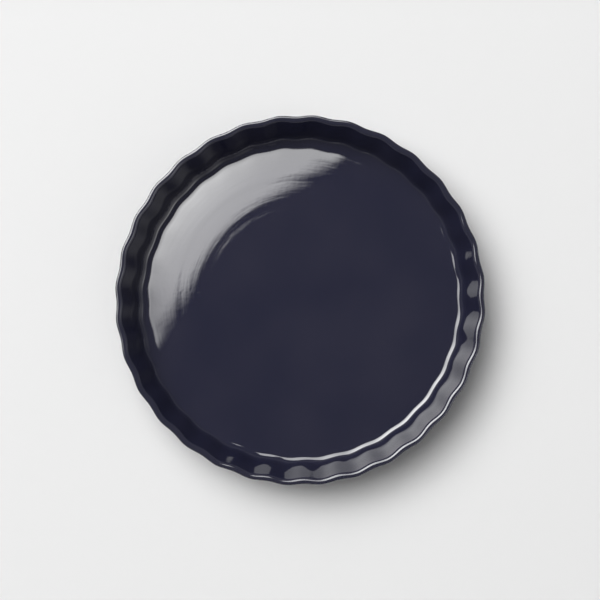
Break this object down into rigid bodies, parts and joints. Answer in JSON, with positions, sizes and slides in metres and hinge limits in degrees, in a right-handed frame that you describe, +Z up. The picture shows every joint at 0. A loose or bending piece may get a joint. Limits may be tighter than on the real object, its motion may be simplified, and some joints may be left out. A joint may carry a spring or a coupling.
{
  "type": "quiche dish",
  "caption": "Round fluted quiche dish of dark glazed stoneware, with a flat floor, a coved scalloped wall, a rounded rim and a bare foot ring.",
  "frame": {"origin": "centre of the circle that the foot ring stands on, on the resting plane", "axes": "+Z up along the dish's axis, +X through the middle of a flute crest, +Y to the left of +X seen from above, also through a flute crest"},
  "size_m": [0.2812, 0.2812, 0.04],
  "materials": {
    "bare_stoneware": "unglazed fired stoneware, fine grain, matt",
    "midnight_glaze": "high gloss, midnight blue"
  },
  "bodies": {
    "root": {"stoneware_body": "bare_stoneware", "inner_glaze": "midnight_glaze", "outer_glaze": "midnight_glaze", "base_glaze": "midnight_glaze"}
  },
  "joints": []
}
